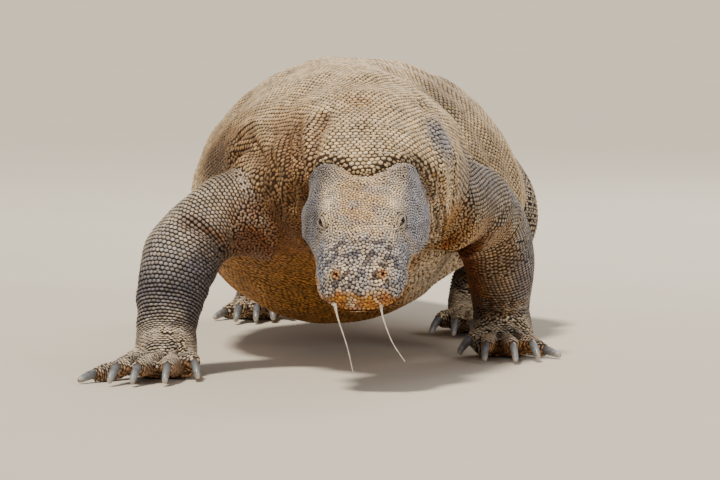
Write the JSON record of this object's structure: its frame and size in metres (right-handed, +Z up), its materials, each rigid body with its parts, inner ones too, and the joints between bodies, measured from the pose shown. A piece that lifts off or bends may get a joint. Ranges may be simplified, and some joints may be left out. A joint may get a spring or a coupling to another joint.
{
  "type": "komodo dragon",
  "caption": "Life-size komodo dragon walking with its head lowered: a still display model of a heavy monitor lizard, tail laid along the floor.",
  "frame": {"origin": "middle of the footprint box of the whole animal, on the floor", "axes": "+Z up, +Y from the head towards the tip of the tail, +X to the animal's left"},
  "size_m": [0.5842, 2.4786, 0.3683],
  "materials": {
    "head_skin": "fine hard scales, dry, sand and slate",
    "jaw_skin": "fine hard scales, ochre",
    "neck_skin": "folded hide of beaded scales",
    "back_skin": "thick hide of beaded scales, dusty",
    "tail_skin": "ringed rows of keeled scales",
    "leg_skin": "thick hide of large beaded scales",
    "eye": "wet, glossy",
    "claw": "smooth horn, grey-blue"
  },
  "bodies": {
    "root": {"belly": "back_skin", "chest": "back_skin", "claw_foot_left_1": "claw", "claw_foot_left_2": "claw", "claw_foot_left_3": "claw", "claw_foot_left_4": "claw", "claw_foot_left_5": "claw", "claw_foot_right_1": "claw", "claw_foot_right_2": "claw", "claw_foot_right_3": "claw", "claw_foot_right_4": "claw", "claw_foot_right_5": "claw", "claw_hand_left_1": "claw", "claw_hand_left_2": "claw", "claw_hand_left_3": "claw", "claw_hand_left_4": "claw", "claw_hand_left_5": "claw", "claw_hand_right_1": "claw", "claw_hand_right_2": "claw", "claw_hand_right_3": "claw", "claw_hand_right_4": "claw", "claw_hand_right_5": "claw", "eye_left": "eye", "eye_right": "eye", "foot_left": "leg_skin", "foot_right": "leg_skin", "forearm_left": "leg_skin", "forearm_right": "leg_skin", "hand_left": "leg_skin", "hand_right": "leg_skin", "head": "head_skin", "hips": "back_skin", "lower_jaw": "jaw_skin", "neck": "neck_skin", "shank_left": "leg_skin", "shank_right": "leg_skin", "tail_base": "tail_skin", "tail_end": "tail_skin", "tail_middle": "tail_skin", "tail_tip": "tail_skin", "thigh_left": "leg_skin", "thigh_right": "leg_skin", "upper_arm_left": "leg_skin", "upper_arm_right": "leg_skin"}
  },
  "joints": []
}
